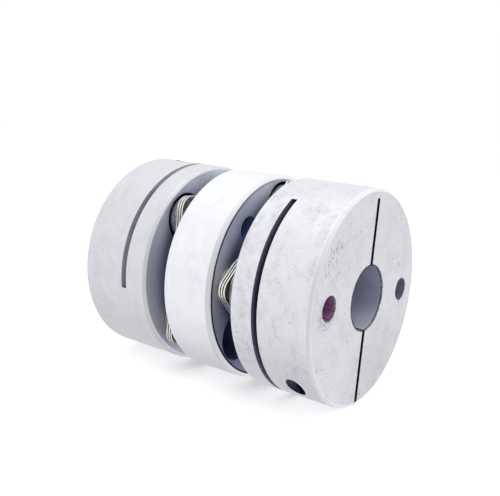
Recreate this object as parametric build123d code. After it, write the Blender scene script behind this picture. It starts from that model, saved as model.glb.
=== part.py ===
from build123d import *
from math import cos, radians, sin
import os

# Double-disc clamp coupling, in millimetres. The shaft axis is X and the origin is the
# centre of the coupling. The front hub is at +X, and the closed side of its slit is at +Z.
# Angles are measured about X, from +Y towards +Z.

# Driving dimensions: the coupling as a whole
outer_diameter = 34.0
bore_diameter = 10.0
jaw_length = 8.6  # split part of a hub, which grips the shaft
saw_cut_width = 1.0  # cross cut that frees the jaws from the flange
flange_thickness = 4.0
hub_gap = 3.8  # between a hub's flange and the spacer
spacer_length = 9.2
rear_turn = 135.0  # the rear half is turned this far about X, from the front half

# Jaws
slit_width = 0.8
slit_top = 15.4  # closed end of the slit, above the shaft axis
saw_cut_top = 14.2  # closed end of the cross cut, above the shaft axis
rim_chamfer = 0.5  # the bore and all the holes have plain, sharp edges

# Clamp screw, an M3 cap screw across the slit
clamp_drop = 12.6  # screw axis below the shaft axis
clamp_thread = 3.0
clamp_clearance = 3.4
clamp_head_diameter = 5.5
clamp_head_height = 3.0
clamp_counterbore = 6.1
clamp_seat = 3.6  # from the slit's mid plane to the face under the head
clamp_screw_length = 12.0
clamp_key = 2.5

# Disc packs and what holds them, at the four bolts of each pack
bolt_circle = 23.8
bolt_thread = 4.0
bolt_head_diameter = 7.0
bolt_head_height = 4.0
bolt_length = 7.0
bolt_key = 3.0
key_hole_diameter = 3.5  # for the key that reaches a bolt head through the jaws
head_pocket_diameter = 8.0
leaf_count = 3
leaf_thickness = 0.3
leaf_gap = 0.15  # between leaves, held open by a raised ring round each bolt
leaf_width = 24.3  # across the flats of the square leaf
leaf_corner_radius = 2.0
leaf_inner_diameter = 13.0
leaf_hole_diameter = 4.3
leaf_ring_diameter = 5.8
waist_depth = 0.8
waist_radius = 30.0
collar_diameter = 6.0
washer_diameter = 7.4
washer_thickness = 0.5
flex_gap = 0.08  # leaves to the collars and washers, so that the pack can tilt

# Spacer
spacer_bore = 12.0
spacer_chamfer = 0.6

# Worked out from the above
thread_slack = 0.04  # radial, between a screw and its thread
radius = outer_diameter / 2
bolt_radius = bolt_circle / 2
spacer_face = spacer_length / 2
flange_face = spacer_face + hub_gap
saw_cut_start = flange_face + flange_thickness
jaw_start = saw_cut_start + saw_cut_width
hub_end = jaw_start + jaw_length
jaw_middle = (jaw_start + hub_end) / 2
leaf_pitch = leaf_thickness + leaf_gap
pack_thickness = leaf_count * leaf_pitch - leaf_gap
pack_middle = spacer_face + hub_gap / 2
collar_length = hub_gap / 2 - pack_thickness / 2 - flex_gap
to_washer = pack_thickness / 2 + flex_gap
to_bolt_head = to_washer + washer_thickness
overshoot = 1.0

spacer_bolt_angles = {"left": 180.0, "right": 0.0}
hub_bolt_angles = {"top": 90.0, "bottom": 270.0}


def at_bolt(angle):
    """A place on the bolt circle, at x = 0."""
    return Pos(0, bolt_radius * cos(radians(angle)), bolt_radius * sin(radians(angle)))


def turned_bar(bar_radius, start, end, flare=0.0):
    """A bar along X whose two ends widen by the flare, or narrow if it is negative."""
    corners = [
        (start, 0),
        (start, bar_radius + flare),
        (start + abs(flare), bar_radius),
        (end - abs(flare), bar_radius),
        (end, bar_radius + flare),
        (end, 0),
    ]
    if flare == 0:
        corners = [corners[0], corners[1], corners[4], corners[5]]
    profile = Plane.XZ * make_face(Polyline(*corners, close=True))
    return revolve(profile, Axis.X)


def block(x_range, y_range, z_range):
    """A box between the given limits."""
    size = [high - low for low, high in (x_range, y_range, z_range)]
    middle = [(high + low) / 2 for low, high in (x_range, y_range, z_range)]
    return Pos(*middle) * Box(*size)


def cap_screw(thread, length, head_diameter, head_height, key):
    """A socket head cap screw along X: the head from x = 0 to +X, the shank towards -X."""
    socket_depth = head_height / 2
    head = turned_bar(head_diameter / 2, 0, head_height, -head_height / 12)
    shank = turned_bar(thread / 2 - thread_slack, -length, 0, -thread / 10)
    shank += turned_bar(thread / 2 - thread_slack, -length / 2, 0)
    socket = RegularPolygon(radius=key / 2, side_count=6, major_radius=False)
    socket = Plane.YZ.offset(head_height - socket_depth) * socket
    return head + shank - extrude(socket, amount=head_height)


def hub():
    """Flange with the bolt holes, and two jaws that hang from it at the top."""
    body = turned_bar(radius, flange_face, hub_end, -rim_chamfer)
    body -= turned_bar(bore_diameter / 2, flange_face, hub_end)

    below = -radius - overshoot
    across = (-radius - overshoot, radius + overshoot)
    body -= block((saw_cut_start, jaw_start), across, (below, saw_cut_top))
    slit = (-slit_width / 2, slit_width / 2)
    body -= block((jaw_start, hub_end + overshoot), slit, (below, slit_top))

    for angle in spacer_bolt_angles.values():
        pocket = turned_bar(head_pocket_diameter / 2, flange_face, saw_cut_start)
        key_hole = turned_bar(key_hole_diameter / 2, jaw_start, hub_end)
        body -= at_bolt(angle) * (pocket + key_hole)
    for angle in hub_bolt_angles.values():
        body -= at_bolt(angle) * turned_bar(bolt_thread / 2, flange_face, saw_cut_start)

    across_jaws = Pos(jaw_middle, 0, -clamp_drop) * Rot(Z=90)
    body -= across_jaws * turned_bar(clamp_thread / 2, -radius, 0)
    body -= across_jaws * turned_bar(clamp_clearance / 2, 0, clamp_seat)
    body -= across_jaws * turned_bar(clamp_counterbore / 2, clamp_seat, radius)
    return body


def clamp_screw():
    """The screw that draws the jaws together, with its head on the +Y side."""
    screw = cap_screw(clamp_thread, clamp_screw_length, clamp_head_diameter, clamp_head_height, clamp_key)
    return Pos(jaw_middle, clamp_seat, -clamp_drop) * Rot(Z=90) * screw


def leaf(start, with_rings):
    """One spring leaf: a square ring with its corners at the bolts and waisted sides."""
    outline = Rot(Z=45) * RectangleRounded(leaf_width, leaf_width, leaf_corner_radius)
    to_waist = leaf_width / 2 - waist_depth + waist_radius
    for angle in (45, 135, 225, 315):
        outline -= Rot(Z=angle) * Pos(to_waist, 0) * Circle(waist_radius)
    outline -= Circle(leaf_inner_diameter / 2)
    plate = extrude(Plane.YZ.offset(start) * outline, amount=leaf_thickness)
    for angle in (0, 90, 180, 270):
        if with_rings:
            plate += at_bolt(angle) * turned_bar(leaf_ring_diameter / 2, start, start + leaf_pitch)
        plate -= at_bolt(angle) * turned_bar(leaf_hole_diameter / 2, start, start + leaf_pitch)
    return plate


def ring(outer, start, end, edge):
    """A collar or washer for the pack bolts."""
    return turned_bar(outer / 2, start, end, -edge) - turned_bar(bolt_thread / 2, start, end)


def bolt_set():
    """Bolt, collar and washer of one spacer bolt, on the X axis; the head is towards the hub."""
    bolt = cap_screw(bolt_thread, bolt_length, bolt_head_diameter, bolt_head_height, bolt_key)
    washer_start = pack_middle + to_washer
    return {
        "bolt": Pos(pack_middle + to_bolt_head, 0, 0) * bolt,
        "washer": ring(washer_diameter, washer_start, washer_start + washer_thickness, 0.1),
        "collar": ring(collar_diameter, spacer_face, spacer_face + collar_length, 0.15),
    }


def front_half():
    """Every piece of the front half but the spacer, by its name without the side."""
    pieces = {"hub": hub(), "clamp_screw": clamp_screw()}
    for number in range(leaf_count):
        start = pack_middle - pack_thickness / 2 + number * leaf_pitch
        pieces[f"leaf_{number + 1}"] = leaf(start, with_rings=number < leaf_count - 1)
    for side, angle in spacer_bolt_angles.items():
        for name, piece in bolt_set().items():
            pieces[f"spacer_{name}_{side}"] = at_bolt(angle) * piece
    about_pack = Pos(pack_middle, 0, 0) * Rot(Z=180) * Pos(-pack_middle, 0, 0)
    for side, angle in hub_bolt_angles.items():
        for name, piece in bolt_set().items():
            pieces[f"hub_{name}_{side}"] = at_bolt(angle) * about_pack * piece
    return pieces


def spacer():
    """Centre ring: threads for its own bolts and open pockets for the heads of the hub bolts."""
    body = turned_bar(radius, -spacer_face, spacer_face, -spacer_chamfer)
    body -= turned_bar(spacer_bore / 2, -spacer_face, spacer_face, rim_chamfer)
    thread = turned_bar(bolt_thread / 2, -spacer_face, spacer_face)
    pocket = turned_bar(head_pocket_diameter / 2, -spacer_face, spacer_face)
    for turn in (0, rear_turn):
        for angle in spacer_bolt_angles.values():
            body -= at_bolt(angle + turn) * thread
        for angle in hub_bolt_angles.values():
            body -= at_bolt(angle + turn) * pocket
    return body


turned_round = Rot(X=rear_turn) * Rot(Z=180)
parts = {"spacer": spacer()}
for piece_name, shape in front_half().items():
    parts[f"front_{piece_name}"] = shape
    parts[f"rear_{piece_name}"] = turned_round * shape

os.makedirs("parts", exist_ok=True)
for node, shape in parts.items():
    export_step(shape, f"parts/{node}.step")
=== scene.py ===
import math

import bmesh
import bpy
from mathutils import Matrix, Vector, noise


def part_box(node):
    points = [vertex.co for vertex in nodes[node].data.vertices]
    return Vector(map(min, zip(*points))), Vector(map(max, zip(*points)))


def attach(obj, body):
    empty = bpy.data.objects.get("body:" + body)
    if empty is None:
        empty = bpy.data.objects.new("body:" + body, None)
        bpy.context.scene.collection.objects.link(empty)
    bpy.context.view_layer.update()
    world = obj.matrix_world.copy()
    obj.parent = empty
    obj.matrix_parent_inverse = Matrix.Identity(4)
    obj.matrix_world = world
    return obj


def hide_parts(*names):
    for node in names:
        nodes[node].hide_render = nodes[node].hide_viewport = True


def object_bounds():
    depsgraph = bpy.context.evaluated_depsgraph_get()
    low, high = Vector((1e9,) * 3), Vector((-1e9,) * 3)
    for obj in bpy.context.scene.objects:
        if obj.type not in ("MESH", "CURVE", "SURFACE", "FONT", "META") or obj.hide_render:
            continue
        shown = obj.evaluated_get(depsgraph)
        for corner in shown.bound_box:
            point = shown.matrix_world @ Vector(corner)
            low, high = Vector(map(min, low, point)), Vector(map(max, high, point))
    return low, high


# Looks of a double-disc clamp coupling. The shaft axis is X, the front hub is at +X, and the
# closed side of its slit is at +Z. Lengths are in millimetres, and MM makes metres of them.

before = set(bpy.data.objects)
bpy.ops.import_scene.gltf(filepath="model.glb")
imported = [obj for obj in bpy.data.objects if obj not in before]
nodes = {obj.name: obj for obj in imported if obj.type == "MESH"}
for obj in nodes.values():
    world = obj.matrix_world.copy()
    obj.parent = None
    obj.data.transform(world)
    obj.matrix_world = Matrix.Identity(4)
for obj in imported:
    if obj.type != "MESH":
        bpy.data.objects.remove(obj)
cad_low, cad_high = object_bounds()
MM = 0.001


# Places and sizes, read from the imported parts

def extent(node):
    """A CAD node's lowest and highest corners, in millimetres."""
    low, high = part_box(node)
    return low / MM, high / MM


def centre(node):
    low, high = extent(node)
    return (low + high) / 2


hub_low, hub_high = extent("front_hub")
screw_low, screw_high = extent("front_clamp_screw")
spacer_high = extent("spacer")[1]

# Sizes that no box shows
flange_thickness = 4.0
saw_cut_width = 1.0
bore_radius = 5.0
spacer_bore_radius = 6.0
pocket_radius = 4.0
key_hole_radius = 1.75
counterbore_reach = 3.2  # just past the counterbore's wall, from the clamp screw's axis
thread_slack = 0.04
pack_bolt_sizes = {
    "thread": 4.0, "length": 7.0, "head_radius": 3.5, "head_height": 4.0, "key": 3.0,
    "pitch": 0.7, "teeth": 60,
}
clamp_screw_sizes = {
    "thread": 3.0, "length": 12.0, "head_radius": 2.75, "head_height": 3.0, "key": 2.5,
    "pitch": 0.5, "teeth": 48,
}

radius = spacer_high.z
hub_end = hub_high.x
flange_face = hub_low.x
spacer_face = spacer_high.x
flange_back = flange_face + flange_thickness
jaw_start = flange_back + saw_cut_width
clamp_x = (screw_low.x + screw_high.x) / 2
clamp_z = (screw_low.z + screw_high.z) / 2
clamp_seat = screw_high.y - clamp_screw_sizes["head_height"]
left_bolt, right_bolt = centre("front_spacer_bolt_left"), centre("front_spacer_bolt_right")
rear_left_bolt = centre("rear_spacer_bolt_left")
bolt_radius = abs(left_bolt.y)
rear_turn = math.atan2(rear_left_bolt.z, rear_left_bolt.y)
in_front = Matrix.Identity(4)
about_z = Matrix.Rotation(math.pi, 4, "Z")
to_rear = Matrix.Rotation(rear_turn, 4, "X") @ about_z


# Node materials

class Look:
    """A Principled material whose patterns are laid out in the part's own coordinates."""

    def __init__(self, name, metallic=1.0):
        self.material = bpy.data.materials.new(name)
        self.material.use_nodes = True
        self.tree = self.material.node_tree
        self.shader = self.tree.nodes["Principled BSDF"]
        self.shader.inputs["Metallic"].default_value = metallic
        scaled = self.add("ShaderNodeVectorMath", operation="SCALE")
        self.link(self.add("ShaderNodeTexCoord").outputs["Object"], scaled.inputs[0])
        scaled.inputs["Scale"].default_value = 1 / MM
        self.place = scaled.outputs[0]

    def add(self, kind, **settings):
        node = self.tree.nodes.new(kind)
        for key, value in settings.items():
            setattr(node, key, value)
        return node

    def link(self, source, target):
        """Feed a socket from another one, or set it to a number or a colour."""
        if isinstance(source, (int, float)):
            target.default_value = source
        elif isinstance(source, tuple):
            target.default_value = (*source, 1.0)
        else:
            self.tree.links.new(source, target)

    def noise(self, size, detail=3.0, rough=0.5, offset=(0, 0, 0), stretch=(1, 1, 1), bend=0.0,
              at=None):
        """Noise with features of about that size in millimetres, from 0 to 1."""
        node = self.add("ShaderNodeTexNoise")
        if at is None:
            moved = self.add("ShaderNodeMapping")
            self.link(self.place, moved.inputs["Vector"])
            moved.inputs["Location"].default_value = offset
            moved.inputs["Scale"].default_value = stretch
            at = moved.outputs[0]
        self.link(at, node.inputs["Vector"])
        node.inputs["Scale"].default_value = 1 / size
        node.inputs["Detail"].default_value = detail
        node.inputs["Roughness"].default_value = rough
        node.inputs["Distortion"].default_value = bend
        return node.outputs["Fac"]

    def along(self, axis, point=None):
        """One coordinate of the place on the part, or of another point."""
        node = self.add("ShaderNodeSeparateXYZ")
        self.link(self.place if point is None else point, node.inputs[0])
        return node.outputs[axis]

    def point(self, x, y):
        node = self.add("ShaderNodeCombineXYZ")
        self.link(x, node.inputs["X"])
        self.link(y, node.inputs["Y"])
        return node.outputs[0]

    def around(self):
        """The distance from the shaft axis as a point, so that noise on it makes turned rings."""
        length = self.add("ShaderNodeVectorMath", operation="LENGTH")
        self.link(self.point(self.along("Y"), self.along("Z")), length.inputs[0])
        return self.point(length.outputs["Value"], self.times(self.along("X"), 0.05))

    def near(self, point, reach):
        """1 at a point in millimetres, and 0 beyond the reach."""
        node = self.add("ShaderNodeVectorMath", operation="DISTANCE")
        self.link(self.place, node.inputs[0])
        node.inputs[1].default_value = point
        return self.remap(node.outputs["Value"], 0, reach, 1, 0)

    def remap(self, value, low, high, start=0.0, end=1.0):
        """A smooth step: start up to the low value, and end from the high one."""
        node = self.add("ShaderNodeMapRange", interpolation_type="SMOOTHSTEP")
        sockets = ("From Min", "From Max", "To Min", "To Max")
        for socket, number in zip(sockets, (low, high, start, end)):
            node.inputs[socket].default_value = number
        self.link(value, node.inputs["Value"])
        return node.outputs["Result"]

    def maths(self, operation, first, second=0.0):
        node = self.add("ShaderNodeMath", operation=operation)
        self.link(first, node.inputs[0])
        self.link(second, node.inputs[1])
        return node.outputs[0]

    def plus(self, first, second):
        return self.maths("ADD", first, second)

    def times(self, first, second):
        return self.maths("MULTIPLY", first, second)

    def mix(self, factor, first, second):
        node = self.add("ShaderNodeMix", data_type="RGBA")
        self.link(factor, node.inputs["Factor"])
        self.link(first, node.inputs[6])
        self.link(second, node.inputs[7])
        return node.outputs[2]

    def finish(self, colour, rough, height, depth, strength):
        """Colour, roughness, and a bump whose height is worth that depth in millimetres."""
        self.link(colour, self.shader.inputs["Base Color"])
        self.link(rough, self.shader.inputs["Roughness"])
        bump = self.add("ShaderNodeBump")
        bump.inputs["Strength"].default_value = strength
        bump.inputs["Distance"].default_value = depth * MM
        self.link(height, bump.inputs["Height"])
        self.link(bump.outputs[0], self.shader.inputs["Normal"])
        return self.material


cool = -0.012  # the warmth of plain aluminium


def grey(value, warmth):
    """A linear grey; negative warmth is bluish."""
    return (value * (1 + 0.8 * warmth), value, value * (1 - 3.4 * warmth))


def blasted(name, value, dirt, specks, seed, turned=0.0, shine=0.0, low_shade=0.0):
    """Bead-blasted aluminium: cloudy smudges, dark specks and scuffs over a fine grain."""
    look = Look(name)
    clouds = look.noise(3.4, 4, 0.62, (seed, 3, 1), (1, 0.8, 0.8), 0.5)
    rubbed = look.noise(0.75, 4, 0.65, (seed + 9, 1, 5), (1, 0.7, 0.7), 0.3)
    patches = look.times(look.remap(clouds, 0.42, 0.70), look.remap(rubbed, 0.36, 0.72))
    colour = look.mix(patches, grey(value, cool), grey(value * (1 - dirt), cool * 1.5))
    fine = look.noise(0.3, 3, 0.6, (seed, 0, 0))
    fine = look.remap(fine, 0.35, 0.75, 0, 0.45 * dirt)
    colour = look.mix(fine, colour, grey(value * 0.8, cool))
    where = look.remap(look.noise(3.2, 2, 0.5, (seed + 20, 7, 2)), 0.46, 0.62)
    dots = look.remap(look.noise(0.2, 1, 0.4, (seed, 5, 5)), 0.69, 0.74)
    dots = look.times(look.times(where, dots), specks)
    colour = look.mix(dots, colour, grey(0.12, -0.05))
    # Painted shade: darker towards the bottom, for the shadow near the floor.
    if low_shade:
        low = look.remap(look.along("Z"), -0.95 * radius, -0.45 * radius, low_shade, 0)
        colour = look.mix(low, colour, grey(value * 0.6, cool))
    rough = look.remap(look.plus(clouds, rubbed), 0.7, 1.3, 0.50 - shine, 0.66 - shine)
    grain = look.noise(0.13, 2, 0.6)
    lines = look.noise(0.09, 2, 0.5, stretch=(1, 0.02, 0.02))
    height = look.plus(look.plus(grain, look.times(lines, turned)), look.times(rubbed, 0.8))
    return look, colour, rough, height


def blasted_skin(name, **looks):
    look, colour, rough, height = blasted(name, **looks)
    return look.finish(colour, rough, height, 0.006, 0.6)


def faced(name, value, dirt, specks, seed, rims=(), scuffs=(), stain_at=None, shaded_at=None):
    """A hub's end face: faint rings from facing under the blasted grain, and dark rings of painted
    shade at the edges of its holes.

    A rim is a hole's middle, the reach of its painted shade and the least strength of it; a scuff
    is a middle and a reach.
    """
    look, colour, rough, height = blasted(name, value, dirt, specks, seed)
    rings = look.noise(0.22, 3, 0.55, at=look.around())
    colour = look.mix(look.remap(rings, 0.4, 0.7, 0, 0.12), colour, grey(value * 0.88, -0.02))
    rubbed = look.remap(look.noise(0.55, 4, 0.7, (4, 4, 1), (1, 1.2, 0.5)), 0.50, 0.64)
    for spot, reach in scuffs:
        there = look.times(look.times(look.near(spot, reach), rubbed), 0.75)
        colour = look.mix(there, colour, grey(value * 0.3, -0.03))
    flecks = look.remap(look.noise(0.62, 1, 0.5, (2, 9, 4), (1, 1.3, 0.8)), 0.745, 0.77)
    colour = look.mix(look.times(flecks, 0.75), colour, grey(0.06, -0.1))
    if shaded_at:
        shade = look.times(look.near(shaded_at, 14.0), 0.22)
        colour = look.mix(shade, colour, grey(value * 0.4, -0.03))
    if stain_at:
        smear = look.remap(look.noise(0.32, 4, 0.7, (3, 3, 3)), 0.44, 0.58)
        tint = look.times(look.times(look.near(stain_at, 3.3), smear), 1.2)
        colour = look.mix(tint, colour, (0.36, 0.24, 0.36))
    # Painted shade: near-black rings at the edges of the holes, broken by chips.
    for spot, reach, least in rims:
        chips = look.remap(look.noise(0.5, 3, 0.6, (8, 2, 2)), 0.44, 0.50, least, 0.95)
        ring = look.maths("GREATER_THAN", look.near(spot, 2 * reach), 0.5)
        colour = look.mix(look.times(ring, chips), colour, grey(0.015, -0.3))
    height = look.plus(height, look.times(rings, 0.9))
    return look.finish(colour, rough, height, 0.006, 0.6)


def machined(name, colour, shade, seed, metallic, rough=0.5, ring_size=0.3, shade_border=None,
             deep_shade=None, pooled_shade=0.0, painted_light_below=None, mouth=None):
    """A bare cut surface in a groove, bore or hole: turned rings, oily film and a cool cast, the
    given colours' painted shade for these recesses.

    shade_border: the distances from the axis over which a dark line of painted shade comes up at
    the outer edge, fainter towards the top. deep_shade: the same, over which the painted shade
    nearer the axis ends. pooled_shade: how much painted shade darkens the bottom.
    painted_light_below: the heights over which a bright painted light at the bottom ends.
    mouth: the distance along X beyond which the hole's lip is darkened with painted shade.
    """
    look = Look(name, metallic)
    ring_place = look.around()
    rings = look.noise(ring_size, 3, 0.6, at=ring_place)
    film = look.noise(2.6, 3, 0.55, (seed, 4, 4), (0.8, 1, 1), 0.4)
    tone = look.mix(look.remap(film, 0.35, 0.7), colour, shade)
    tone = look.mix(look.remap(rings, 0.45, 0.75, 0, 0.25), tone, shade)
    # The colour of the painted shade below: a darker, bluer tone of the wall.
    painted_shade_tone = (0.30 * shade[0], 0.30 * shade[1], 0.46 * shade[2])
    # Painted shade nearer the axis, deeper in the recess.
    if deep_shade:
        tone = look.mix(look.remap(look.along("X", ring_place), *deep_shade, 0.85, 0), tone, painted_shade_tone)
    # Painted shade towards the bottom, ragged where the film varies.
    if pooled_shade:
        shaded_height = look.plus(look.along("Z"), look.times(film, 3.0))
        tone = look.mix(look.remap(shaded_height, -radius, 0.5 * radius, pooled_shade, 0), tone, painted_shade_tone)
    # Painted light: a brighter stretch at the bottom of the wall, where more light comes in.
    if painted_light_below:
        patch = look.remap(look.along("Z"), *painted_light_below, 0.9, 0)
        tone = look.mix(patch, tone, (0.88, 0.88, 0.95))
    # A line of painted shade at the outer edge, fainter towards the top.
    if shade_border:
        faded = look.remap(look.along("Z"), 0.5 * radius, 0.95 * radius, 1, 0.3)
        line = look.remap(look.along("X", ring_place), *shade_border, 0, 0.95)
        tone = look.mix(look.times(line, faded), tone, (0.012, 0.012, 0.03))
    # Painted shade at the hole's lip, near the end face, broken by chips.
    if mouth:
        outside = look.maths("GREATER_THAN", look.maths("ABSOLUTE", look.along("X")), mouth)
        chips = look.remap(look.noise(0.3, 2, 0.5, (6, 1, 3)), 0.40, 0.50, 0.45, 0.95)
        tone = look.mix(look.times(outside, chips), tone, (0.015, 0.015, 0.035))
    roughness = look.remap(look.plus(rings, film), 0.6, 1.4, rough - 0.08, rough + 0.1)
    height = look.plus(rings, look.times(look.noise(0.1, 2, 0.5), 0.5))
    return look.finish(tone, roughness, height, 0.005, 0.6)


def burred_and_shaded(name, colour, dark, size):
    """The broken edge of a drilled hole: dark with painted shade, and bright nicks."""
    look = Look(name, 0.6)
    nicks = look.remap(look.noise(size, 2, 0.6, (2, 2, 7)), 0.30, 0.42)
    tone = look.mix(nicks, dark, colour)
    return look.finish(tone, look.remap(nicks, 0, 1, 0.5, 0.35), nicks, 0.02, 0.6)


def steel(name, colour, worn, rough, size, stretch=(1, 1, 1), specks=0.2):
    """Steel whose grain is long where the stretch is small, rubbed bright in places."""
    look = Look(name)
    grain = look.noise(size, 4, 0.6, stretch=stretch)
    rubbed = look.noise(0.9, 3, 0.6, (5, 8, 2), bend=0.5)
    tone = look.mix(look.remap(rubbed, 0.4, 0.65), colour, worn)
    tone = look.mix(look.remap(grain, 0.4, 0.72, 0, 0.5), tone, tuple(c * 0.6 for c in colour))
    dots = look.remap(look.noise(0.12, 1, 0.4, (2, 6, 1)), 0.68, 0.76, 0, specks)
    tone = look.mix(dots, tone, (0.05, 0.045, 0.05))
    roughness = look.remap(look.plus(grain, rubbed), 0.7, 1.3, rough - 0.07, rough + 0.12)
    return look.finish(tone, roughness, grain, 0.004, 0.7)


def dried_film(name, colour, shade):
    look = Look(name, 0.0)
    blots = look.noise(0.5, 4, 0.65, (1, 2, 3), bend=0.6)
    tone = look.mix(look.remap(blots, 0.38, 0.62), colour, shade)
    return look.finish(tone, look.remap(blots, 0.3, 0.7, 0.28, 0.5), blots, 0.03, 0.7)


def on_end_face(y, z):
    return Vector((hub_end, y, z))


key_hole_left, key_hole_right = on_end_face(left_bolt.y, 0.0), on_end_face(right_bolt.y, 0.0)
# Painted shade at the edges of the bore and the key holes: each rim's middle, reach and least
# strength.
shaded_hole_rims = [
    (on_end_face(-0.16, 0.08), bore_radius + 0.22, 0.8),
    (on_end_face(0.05, 0.0), bore_radius + 0.16, 0.0),
]
for spot in (key_hole_left, key_hole_right):
    shaded_hole_rims.append((spot + Vector((0, 0.12, 0.06)), key_hole_radius + 0.15, 0.6))
face_scuffs = [
    (key_hole_left + Vector((0, -0.7, 5.0)), 3.1),
    (key_hole_left + Vector((0, 0.5, 8.4)), 3.1),
    (key_hole_right + Vector((0, -1.6, 5.2)), 2.2),
]

skin_front = blasted_skin(
    "aluminium_blasted_front", value=0.765, dirt=0.17, specks=0.8, seed=1.0, turned=0.5
)
skin_rear = blasted_skin(
    "aluminium_blasted_rear", value=0.71, dirt=0.035, specks=0.1, seed=31.0, turned=0.8
)
skin_spacer = blasted_skin(
    "aluminium_blasted_spacer", value=0.86, dirt=0.04, specks=0.05, seed=57.0, turned=0.8,
    low_shade=0.5
)
# Painted highlight: the front hub's rounded edges are given a brighter colour than its skin.
edge_front = blasted_skin(
    "aluminium_edge_front_painted_highlight", value=0.89, dirt=0.08, specks=0.3, seed=3.0, shine=0.12
)
edge_clean = blasted_skin(
    "aluminium_edge_clean", value=0.86, dirt=0.04, specks=0.0, seed=5.0, shine=0.16
)
edge_rear = blasted_skin(
    "aluminium_edge_rear", value=0.77, dirt=0.04, specks=0.0, seed=5.0, shine=0.08
)
face_front = faced(
    "aluminium_end_face_front", value=0.755, dirt=0.05, specks=1.0, seed=12.0, rims=shaded_hole_rims,
    scuffs=face_scuffs, stain_at=key_hole_left + Vector((0, -0.5, -0.8)),
    shaded_at=on_end_face(6.0, -13.0)
)
face_rear = faced("aluminium_end_face_rear", value=0.76, dirt=0.12, specks=0.4, seed=44.0)

# Painted shade: the walls of the recesses are bluer than the skins and, but for the gap walls,
# darker, most of all in the slit, the pockets and the clamp screw's hole.
gap_wall = machined(
    "aluminium_gap_wall", (0.84, 0.88, 0.98), (0.74, 0.78, 0.90), seed=2.0, metallic=0.6,
    deep_shade=(12.0, 15.2), pooled_shade=0.25
)
gap_wall_ringed = machined(
    "aluminium_gap_wall_ringed", (0.84, 0.88, 0.98), (0.74, 0.79, 0.90), seed=6.0, metallic=0.6,
    rough=0.45, shade_border=(15.99, 16.04), deep_shade=(12.0, 15.2), pooled_shade=0.95
)
cut_wall_front = machined(
    "aluminium_cut_wall_front", (0.44, 0.42, 0.58), (0.32, 0.30, 0.45), seed=4.0, metallic=0.6,
    deep_shade=(15.5, 16.9)
)
cut_wall_rear = machined(
    "aluminium_cut_wall_rear", (0.64, 0.66, 0.74), (0.50, 0.52, 0.60), seed=4.0, metallic=0.4
)
slit_wall = machined(
    "aluminium_slit_wall_painted_shade", (0.05, 0.052, 0.11), (0.03, 0.033, 0.075), seed=9.0, metallic=0.8
)
bore_wall = machined(
    "aluminium_bore", (0.51, 0.54, 0.67), (0.43, 0.46, 0.59), seed=8.0, metallic=0.45,
    ring_size=0.2, painted_light_below=(-5.0, -1.0), mouth=hub_end - 0.26
)
key_wall = machined(
    "aluminium_key_hole", (0.32, 0.31, 0.44), (0.22, 0.21, 0.32), seed=8.0, metallic=0.1,
    ring_size=0.15, mouth=hub_end - 0.22
)
hole_wall = machined(
    "aluminium_hole_painted_shade", (0.14, 0.18, 0.42), (0.09, 0.11, 0.28), seed=5.0, metallic=0.2, rough=0.55,
    ring_size=0.15
)
clamp_wall = machined(
    "aluminium_clamp_hole_painted_shade", (0.07, 0.09, 0.18), (0.04, 0.05, 0.11), seed=5.0, metallic=0.3,
    rough=0.55, ring_size=0.15
)
counterbore = machined(
    "aluminium_counterbore", (0.50, 0.51, 0.56), (0.38, 0.39, 0.44), seed=3.0, metallic=0.5,
    ring_size=0.15
)
# Painted shade on the broken edges of the bore and key holes, with bright nicks.
burr_and_shade = burred_and_shaded("aluminium_burr_and_shade", (0.66, 0.66, 0.70), (0.05, 0.05, 0.09), 0.22)

grain_along_z = (1, 1, 0.06)
leaf_edge = steel(
    "leaf_steel_edge", (0.76, 0.73, 0.69), (0.88, 0.86, 0.82), 0.30, 0.10, grain_along_z
)
# Painted shade: the leaves' flat faces are a darker copy of the edge steel, for the shade between
# the leaves.
leaf_face = steel(
    "leaf_steel_face_painted_shade", (0.22, 0.21, 0.20), (0.32, 0.30, 0.28), 0.42, 0.10, grain_along_z
)
collar_steel = steel(
    "collar_steel", (0.55, 0.52, 0.48), (0.66, 0.63, 0.58), 0.36, 0.08, (1, 0.05, 0.05)
)
washer_steel = steel(
    "washer_steel", (0.28, 0.27, 0.28), (0.40, 0.38, 0.39), 0.38, 0.10, (1, 0.3, 0.3)
)
bolt_steel = steel(
    "bolt_steel", (0.15, 0.16, 0.21), (0.25, 0.26, 0.33), 0.36, 0.14, specks=0.4
)
dark_steel = steel(
    "clamp_screw_steel", (0.075, 0.075, 0.085), (0.16, 0.16, 0.17), 0.38, 0.14, specks=0.3
)
purple = dried_film("thread_lock_purple", (0.42, 0.21, 0.41), (0.26, 0.11, 0.26))


# Pieces

def add_piece(name, bm, materials, body, replaced=(), smooth_by_area=True):
    mesh = bpy.data.meshes.new(name)
    bmesh.ops.recalc_face_normals(bm, faces=bm.faces)
    bm.to_mesh(mesh)
    bm.free()
    cad_normals = mesh.attributes.get("custom_normal")
    if cad_normals:
        mesh.attributes.remove(cad_normals)
    piece = bpy.data.objects.new(name, mesh)
    bpy.context.scene.collection.objects.link(piece)
    for material in materials:
        mesh.materials.append(material)
    if smooth_by_area:
        weighted = piece.modifiers.new("weighted_normals", "WEIGHTED_NORMAL")
        weighted.weight = 100
    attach(piece, body)
    if replaced:
        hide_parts(*replaced)


def rounded_copy(node, width, material_of, materials, body):
    """A CAD node with its sharp edges broken by a small radius, and a material for each zone."""
    bm = bmesh.new()
    bm.from_mesh(nodes[node].data)
    bmesh.ops.remove_doubles(bm, verts=bm.verts, dist=1e-7)
    sharp = [e for e in bm.edges if e.is_manifold and e.calc_face_angle() > math.radians(25)]
    made = bmesh.ops.bevel(
        bm, geom=sharp, offset=width * MM, segments=2, profile=0.5, affect="EDGES",
        clamp_overlap=False
    )
    rounded = set(made["faces"])
    for face in bm.faces:
        face.smooth = True
        face.material_index = material_of(face, face in rounded)
    add_piece(node + "_finished", bm, materials, body, (node,))


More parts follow.
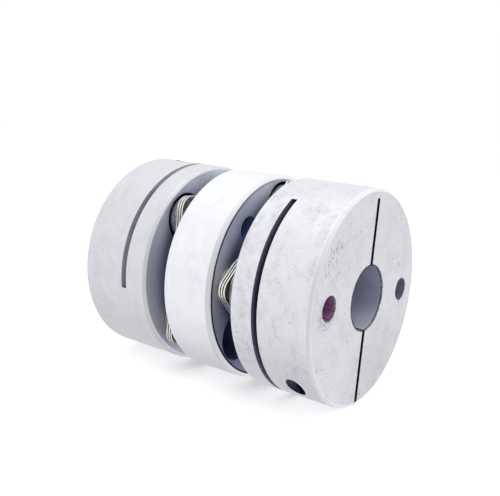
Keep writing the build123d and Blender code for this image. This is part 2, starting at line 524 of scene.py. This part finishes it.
hole_turns = [math.radians(a) for a in range(0, 360, 45)]
hole_spots = [(bolt_radius * math.cos(a), bolt_radius * math.sin(a)) for a in hole_turns]


def by_bolt_circle(place, reach):
    """Whether a point is that close to one of the eight places for holes on the bolt circle."""
    return any(math.hypot(place.y - y, place.z - z) < reach for y, z in hole_spots)


SKIN, END, EDGE, WALL, BORE, HOLE, CUT, SLIT, KEY, BURR, COUNTERBORE, CLAMP = range(12)


def aluminium_zone(to_front, inner_radius):
    """Which zone of a turned aluminium piece a face belongs to."""
    chamfer = 0.7  # with its rounded edges

    def zone(face, rounded):
        place = to_front @ (face.calc_center_median() / MM)
        normal = to_front.to_3x3() @ face.normal
        out = math.hypot(place.y, place.z)
        lengthways, sideways, faces_x = abs(place.x), abs(place.y), abs(normal.x)
        if rounded and out > radius - chamfer:
            return EDGE
        if out > radius - 0.1 and faces_x < 0.5:
            return SKIN
        if out > radius - chamfer and faces_x < 0.9:
            return EDGE
        if lengthways > hub_end - 0.05 and faces_x > 0.9:
            return END
        by_bore = out < inner_radius + 0.3
        by_key_hole = by_bolt_circle(place, key_hole_radius + 0.3) and abs(place.z) < 3.0
        if lengthways > hub_end - 0.3 and faces_x > 0.2 and (by_bore or by_key_hole):
            return BURR
        if out < inner_radius + 0.25:
            return BORE
        if lengthways > jaw_start and by_key_hole:
            return KEY
        in_flange = lengthways < flange_back + 0.05
        if in_flange and faces_x < 0.3 and by_bolt_circle(place, pocket_radius + 0.1):
            return HOLE
        in_jaw = jaw_start < lengthways < hub_end and sideways > 0.6
        by_clamp_screw = max(abs(place.x - clamp_x), place.z - clamp_z) < counterbore_reach
        if in_jaw and faces_x < 0.999 and by_clamp_screw:
            return COUNTERBORE if place.y > clamp_seat - 0.05 else CLAMP
        if lengthways > jaw_start - 0.1 and abs(normal.y) > 0.9 and sideways < 0.6:
            return SLIT
        return CUT if lengthways > flange_back - 0.1 else WALL

    return zone


def leaf_zone(face, rounded):
    """Bright sheared edges, and faces darkened with painted shade between the leaves."""
    return 1 if abs(face.normal.x) > 0.75 else 0


hub_rounding, leaf_rounding = 0.06, 0.05
front_inner, rear_inner = (
    [bore_wall, hole_wall, cut_wall, slit_wall, key_wall, burr_and_shade, counterbore, clamp_wall]
    for cut_wall in (cut_wall_front, cut_wall_rear)
)
rounded_copy(
    "front_hub", hub_rounding, aluminium_zone(in_front, bore_radius),
    [skin_front, face_front, edge_front, gap_wall] + front_inner, "front_half"
)
rounded_copy(
    "rear_hub", hub_rounding, aluminium_zone(to_rear.inverted(), bore_radius),
    [skin_rear, face_rear, edge_rear, gap_wall] + rear_inner, "rear_half"
)
rounded_copy(
    "spacer", hub_rounding, aluminium_zone(in_front, spacer_bore_radius),
    [skin_spacer, gap_wall, edge_clean, gap_wall_ringed] + front_inner, "centre"
)
for side in ("front", "rear"):
    for number in range(1, 4):
        rounded_copy(
            f"{side}_leaf_{number}", leaf_rounding, leaf_zone, [leaf_edge, leaf_face],
            f"{side}_pack"
        )


def add_shell(bm, place, rows, around):
    """A closed shell of rings along X; each row is x, and a function for point k's radius."""
    rings = []
    for x, reach in rows:
        ring = []
        for k in range(around):
            a = 2 * math.pi * k / around
            r = reach(k)
            ring.append(bm.verts.new(place @ Vector((x, r * math.cos(a), r * math.sin(a))) * MM))
        rings.append(ring)
    for one, two in zip(rings, rings[1:]):
        for k in range(around):
            face = bm.faces.new((one[k], one[(k + 1) % around], two[(k + 1) % around], two[k]))
            face.smooth = True
    bm.faces.new(rings[0])
    bm.faces.new(list(reversed(rings[-1])))


def circle(r):
    return lambda k: r


def cap_screw_mesh(place, thread, length, head_radius, head_height, key, pitch, teeth):
    """A socket cap screw along X, its seat at x = 0: knurled head, hex socket, cut thread."""
    turn = 2 * math.pi
    apothem = key / 2
    knurl = 0.035 * head_radius
    around_head = teeth * 3
    socket_floor = head_height - head_height / 2

    def hexagon(r):
        return lambda k: r / math.cos((k * turn / around_head) % (turn / 6) - turn / 12)

    def knurled(r):
        return lambda k: r - (knurl if k % 3 == 0 else 0)

    # The socket, from its floor to its broken mouth
    rows = [
        (socket_floor - 0.25, circle(0.05)),
        (socket_floor, hexagon(apothem * 0.98)),
        (socket_floor + 0.02, hexagon(apothem)),
        (head_height - 0.16, hexagon(apothem)),
        (head_height - 0.06, circle(apothem * 1.17)),
        (head_height, circle(apothem * 1.22)),
    ]
    # The round corner, the knurled side, and the plain foot down to the shank
    corner = 0.14 * head_radius
    flat = head_radius - knurl - corner
    for step in range(5):
        a = step / 4 * turn / 4
        x = head_height - corner + corner * math.cos(a)
        rows.append((x, circle(flat + corner * math.sin(a))))
    rows += [
        (head_height - corner * 1.2, knurled(head_radius)),
        (0.30, knurled(head_radius)),
        (0.22, circle(head_radius - knurl)),
        (0.08, circle(head_radius - knurl)),
        (0.0, circle(head_radius - knurl - 0.10)),
        (0.0, circle(thread / 2 - 0.3)),
    ]
    bm = bmesh.new()
    add_shell(bm, place, rows, around_head)

    around_shank = 48
    rows_per_turn = 5
    crest, cut = thread / 2 - thread_slack, 0.55 * pitch
    rows = [(0.1, circle(crest)), (-0.15, circle(crest))]
    count = int((length - 0.3) / pitch * rows_per_turn)
    for row in range(count + 1):
        x = -0.2 - row * (length - 0.2) / count
        tip = max(0.0, -x - (length - 0.45))

        def threaded(k, x=x, tip=tip):
            wave = abs(((x / pitch + k / around_shank) % 1) * 2 - 1)
            return min(crest - cut * (1 - wave), crest - tip)

        rows.append((x, threaded))
    add_shell(bm, place, rows, around_shank)
    return bm


def pack_bolt_place(node):
    """A pack bolt's seat, with +X towards its head, which is on the far side from its collar."""
    low, high = extent(node)
    head_height = pack_bolt_sizes["head_height"]
    head_out = centre(node).x > centre(node.replace("bolt", "collar")).x
    seat = high.x - head_height if head_out else low.x + head_height
    place = Matrix.Translation((seat, (low.y + high.y) / 2, (low.z + high.z) / 2))
    return place if head_out else place @ about_z


for side in ("front", "rear"):
    homes = (("spacer", ("left", "right"), "centre"), ("hub", ("top", "bottom"), f"{side}_half"))
    for kind, ends, body in homes:
        for end in ends:
            node = f"{side}_{kind}_bolt_{end}"
            bm = cap_screw_mesh(pack_bolt_place(node), **pack_bolt_sizes)
            add_piece(node + "_finished", bm, [bolt_steel], body, (node,))
            for ring, material in (("collar", collar_steel), ("washer", washer_steel)):
                ring_materials = nodes[f"{side}_{kind}_{ring}_{end}"].data.materials
                ring_materials.clear()
                ring_materials.append(material)

to_y = Matrix.Rotation(math.pi / 2, 4, "Z")
for side, turn_to in (("front", in_front), ("rear", to_rear)):
    place = turn_to @ (Matrix.Translation((clamp_x, clamp_seat, clamp_z)) @ to_y)
    bm = cap_screw_mesh(place, **clamp_screw_sizes)
    node = f"{side}_clamp_screw"
    add_piece(node + "_finished", bm, [dark_steel], f"{side}_screw", (node,))


def under_skin(point):
    return math.hypot(point.y, point.z) < radius - 0.12


def inner_thread(name, place, sizes, start, end, material, body):
    """Ridges of a tapped thread along X, as one strip for each stretch that is inside the metal."""
    hole_radius, pitch = sizes["thread"] / 2, sizes["pitch"]
    around = 40
    fewest = 6
    bm = bmesh.new()
    run = []

    def close(run):
        if len(run) > fewest:
            for one, two in zip(run, run[1:]):
                for k in range(3):
                    bm.faces.new((one[k], one[(k + 1) % 3], two[(k + 1) % 3], two[k]))
            bm.faces.new(run[0])
            bm.faces.new(list(reversed(run[-1])))

    steps = int((end - start) / pitch * around)
    for step in range(steps + 1):
        a = 2 * math.pi * step / around
        x = start + step * pitch / around
        taper = min(1.0, step / 8, (steps - step) / 8)
        tip = hole_radius - 0.45 * pitch * max(taper, 0.08)
        root = hole_radius + 0.03
        points = [(x - 0.42 * pitch, root), (x, tip), (x + 0.42 * pitch, root)]
        points = [place @ Vector((px, r * math.cos(a), r * math.sin(a))) for px, r in points]
        if all(under_skin(p) for p in points):
            run.append([bm.verts.new(p * MM) for p in points])
        else:
            close(run)
            run = []
    close(run)
    for loose in [v for v in bm.verts if not v.link_faces]:
        bm.verts.remove(loose)
    add_piece(name, bm, [material], body, smooth_by_area=False)


clamp_thread_from = 3.0
clamp_thread_to = radius - 8.7  # just short of the clamp screw's tip
bolt_thread_from, bolt_thread_to = 0.6, 4.8  # from the spacer's far side
for side, turn_to in (("front", in_front), ("rear", to_rear)):
    place = turn_to @ Matrix.Translation((clamp_x, -radius, clamp_z)) @ to_y
    inner_thread(f"{side}_clamp_thread", place, clamp_screw_sizes, clamp_thread_from,
                 clamp_thread_to, clamp_wall, f"{side}_half")
    for end in ("left", "right"):
        seat = centre(f"{side}_spacer_bolt_{end}")
        if side == "front":
            place = Matrix.Translation((-spacer_face, seat.y, seat.z))
        else:
            place = Matrix.Translation((spacer_face, seat.y, seat.z)) @ about_z
        inner_thread(f"{side}_spacer_thread_{end}", place, pack_bolt_sizes, bolt_thread_from,
                     bolt_thread_to, hole_wall, "centre")


def locking_film(name, place, reach, ragged, material, body):
    """Dried thread-lock on a key hole's wall, from its broken edge inwards, with torn edges."""
    bm = bmesh.new()
    around, along = 64, 18
    grid = []
    for k in range(around):
        a = 2 * math.pi * k / around
        spot = Vector((math.cos(a), math.sin(a), 0)) * 1.7
        near = 0.2 + ragged * max(0.0, noise.noise(spot * 1.3 + Vector((0, 0, 4))) - 0.1)
        far = reach * (1 + 0.35 * noise.noise(spot * 0.9 + Vector((9, 0, 0))))
        column = []
        for step in range(along + 1):
            depth = near + (far - near) * (step / along) ** 1.6
            lump = 0.016 * noise.noise(Vector((math.cos(a) * 3, math.sin(a) * 3, depth * 1.8)))
            thick = 0.035 + lump if 0 < step < along else 0.0
            r = key_hole_radius + 0.005 - thick
            point = place @ Vector((-depth, r * math.cos(a), r * math.sin(a)))
            column.append(bm.verts.new(point * MM))
        grid.append(column)
    for k in range(around):
        one, two = grid[k], grid[(k + 1) % around]
        for step in range(along):
            face = bm.faces.new((one[step], two[step], two[step + 1], one[step + 1]))
            face.smooth = True
    add_piece(name, bm, [material], body, smooth_by_area=False)


film_place = Matrix.Translation((hub_end, left_bolt.y, left_bolt.z))
locking_film("front_thread_lock_left", film_place, 6.0, 0.9, purple, "front_half")


# Floor, light and camera

floor_size = 4.0
bm = bmesh.new()
bmesh.ops.create_grid(bm, x_segments=8, y_segments=8, size=floor_size / 2)
floor_mesh = bpy.data.meshes.new("floor")
bm.to_mesh(floor_mesh)
bm.free()
floor = bpy.data.objects.new("floor", floor_mesh)
floor.location.z = cad_low.z
bpy.context.scene.collection.objects.link(floor)
paper = Look("pale_floor", 0.0)
paper.shader.inputs["Specular IOR Level"].default_value = 0.1
paper.shader.inputs["Emission Color"].default_value = (1, 1, 1, 1)
paper.shader.inputs["Emission Strength"].default_value = 0.37
fibres = paper.noise(30.0, 3, 0.5)
floor_mesh.materials.append(
    paper.finish(paper.mix(fibres, (0.93, 0.93, 0.93), (0.97, 0.97, 0.97)), 0.9, fibres, 0.01, 0.1)
)
floor.visible_diffuse = False
floor.visible_glossy = False


def soft_room(levels, front, front_loss):
    """A soft white room: its light by height, and a little less of it from the front."""
    world = bpy.data.worlds.new("studio")
    bpy.context.scene.world = world
    world.use_nodes = True
    tree = world.node_tree

    def add(kind, links, **values):
        """A node with its sockets linked, by their names or places, and its settings made."""
        node = tree.nodes.new(kind)
        for socket, source in links.items():
            tree.links.new(source, node.inputs[socket])
        for key, value in values.items():
            setattr(node, key, value)
        return node

    towards = add("ShaderNodeTexCoord", {}).outputs["Generated"]
    height = add("ShaderNodeSeparateXYZ", {0: towards}).outputs["Z"]
    lift = add("ShaderNodeMapRange", {"Value": height})
    lift.inputs["From Min"].default_value = -1.0
    ramp = add("ShaderNodeFloatCurve", {"Value": lift.outputs["Result"]})
    ramp.mapping.use_clip = False
    curve = ramp.mapping.curves[0]
    for point, (at_height, level) in zip(curve.points, (levels[0], levels[-1])):
        point.location = ((at_height + 1) / 2, level)
    for at_height, level in levels[1:-1]:
        curve.points.new((at_height + 1) / 2, level)
    ramp.mapping.update()
    facing = add("ShaderNodeVectorMath", {0: towards}, operation="DOT_PRODUCT")
    facing.inputs[1].default_value = front
    side = add("ShaderNodeMapRange", {"Value": facing.outputs["Value"]},
               interpolation_type="SMOOTHSTEP")
    side.inputs["From Min"].default_value = 0.35
    side.inputs["To Min"].default_value = 1.0
    side.inputs["To Max"].default_value = 1.0 - front_loss
    light = add("ShaderNodeMath", {0: ramp.outputs["Value"], 1: side.outputs["Result"]},
                operation="MULTIPLY")
    seen = add("ShaderNodeLightPath", {}).outputs["Is Camera Ray"]
    backdrop = add("ShaderNodeMix", {"Factor": seen, "A": light.outputs[0]})
    backdrop.inputs["B"].default_value = 1.02
    background = tree.nodes["Background"]
    background.inputs["Color"].default_value = (1, 0.993, 1, 1)
    tree.links.new(backdrop.outputs["Result"], background.inputs["Strength"])


light_by_height = [(-1, 0.25), (-0.75, 0.98), (-0.35, 1.14), (0, 1.04), (1, 1.16)]
soft_room(light_by_height, (0.80, -0.58, -0.15), 0.35)


def area_light(name, place, size, power):
    """A round lamp at a place in metres, aimed at the part."""
    data = bpy.data.lights.new(name, "AREA")
    data.shape = "DISK"
    data.size = size
    data.energy = power
    lamp = bpy.data.objects.new(name, data)
    lamp.location = place
    lamp.rotation_euler = (-Vector(place)).to_track_quat("-Z", "Y").to_euler()
    bpy.context.scene.collection.objects.link(lamp)


area_light("overhead", (-0.10, -0.05, 0.50), 0.45, 0.25)
area_light("front_left", (-0.25, -0.45, 0.20), 0.30, 0.1)

camera_data = bpy.data.cameras.new("camera")
camera_data.lens = 51.08
camera_data.shift_x = -0.06
camera_data.shift_y = -0.06
camera_data.sensor_width = 36.0
camera_data.clip_start = 0.005
camera = bpy.data.objects.new("camera", camera_data)
bpy.context.scene.collection.objects.link(camera)
camera_place = Vector((68.05, -97.06, 22.67))
azimuth, elevation, roll = math.radians(33.17), math.radians(6.31), math.radians(5.93)
back = Vector((
    math.sin(azimuth) * math.cos(elevation),
    -math.cos(azimuth) * math.cos(elevation),
    math.sin(elevation),
))
right = Vector((0, 0, 1)).cross(back).normalized()
up = back.cross(right)
rolled_right = math.cos(roll) * right + math.sin(roll) * up
rolled_up = -math.sin(roll) * right + math.cos(roll) * up
turned = Matrix((rolled_right, rolled_up, back)).transposed()
camera.matrix_world = Matrix.Translation(camera_place * MM) @ turned.to_4x4()
bpy.context.scene.camera = camera

bpy.context.scene.view_settings.view_transform = "Standard"
bpy.context.scene.view_settings.look = "None"
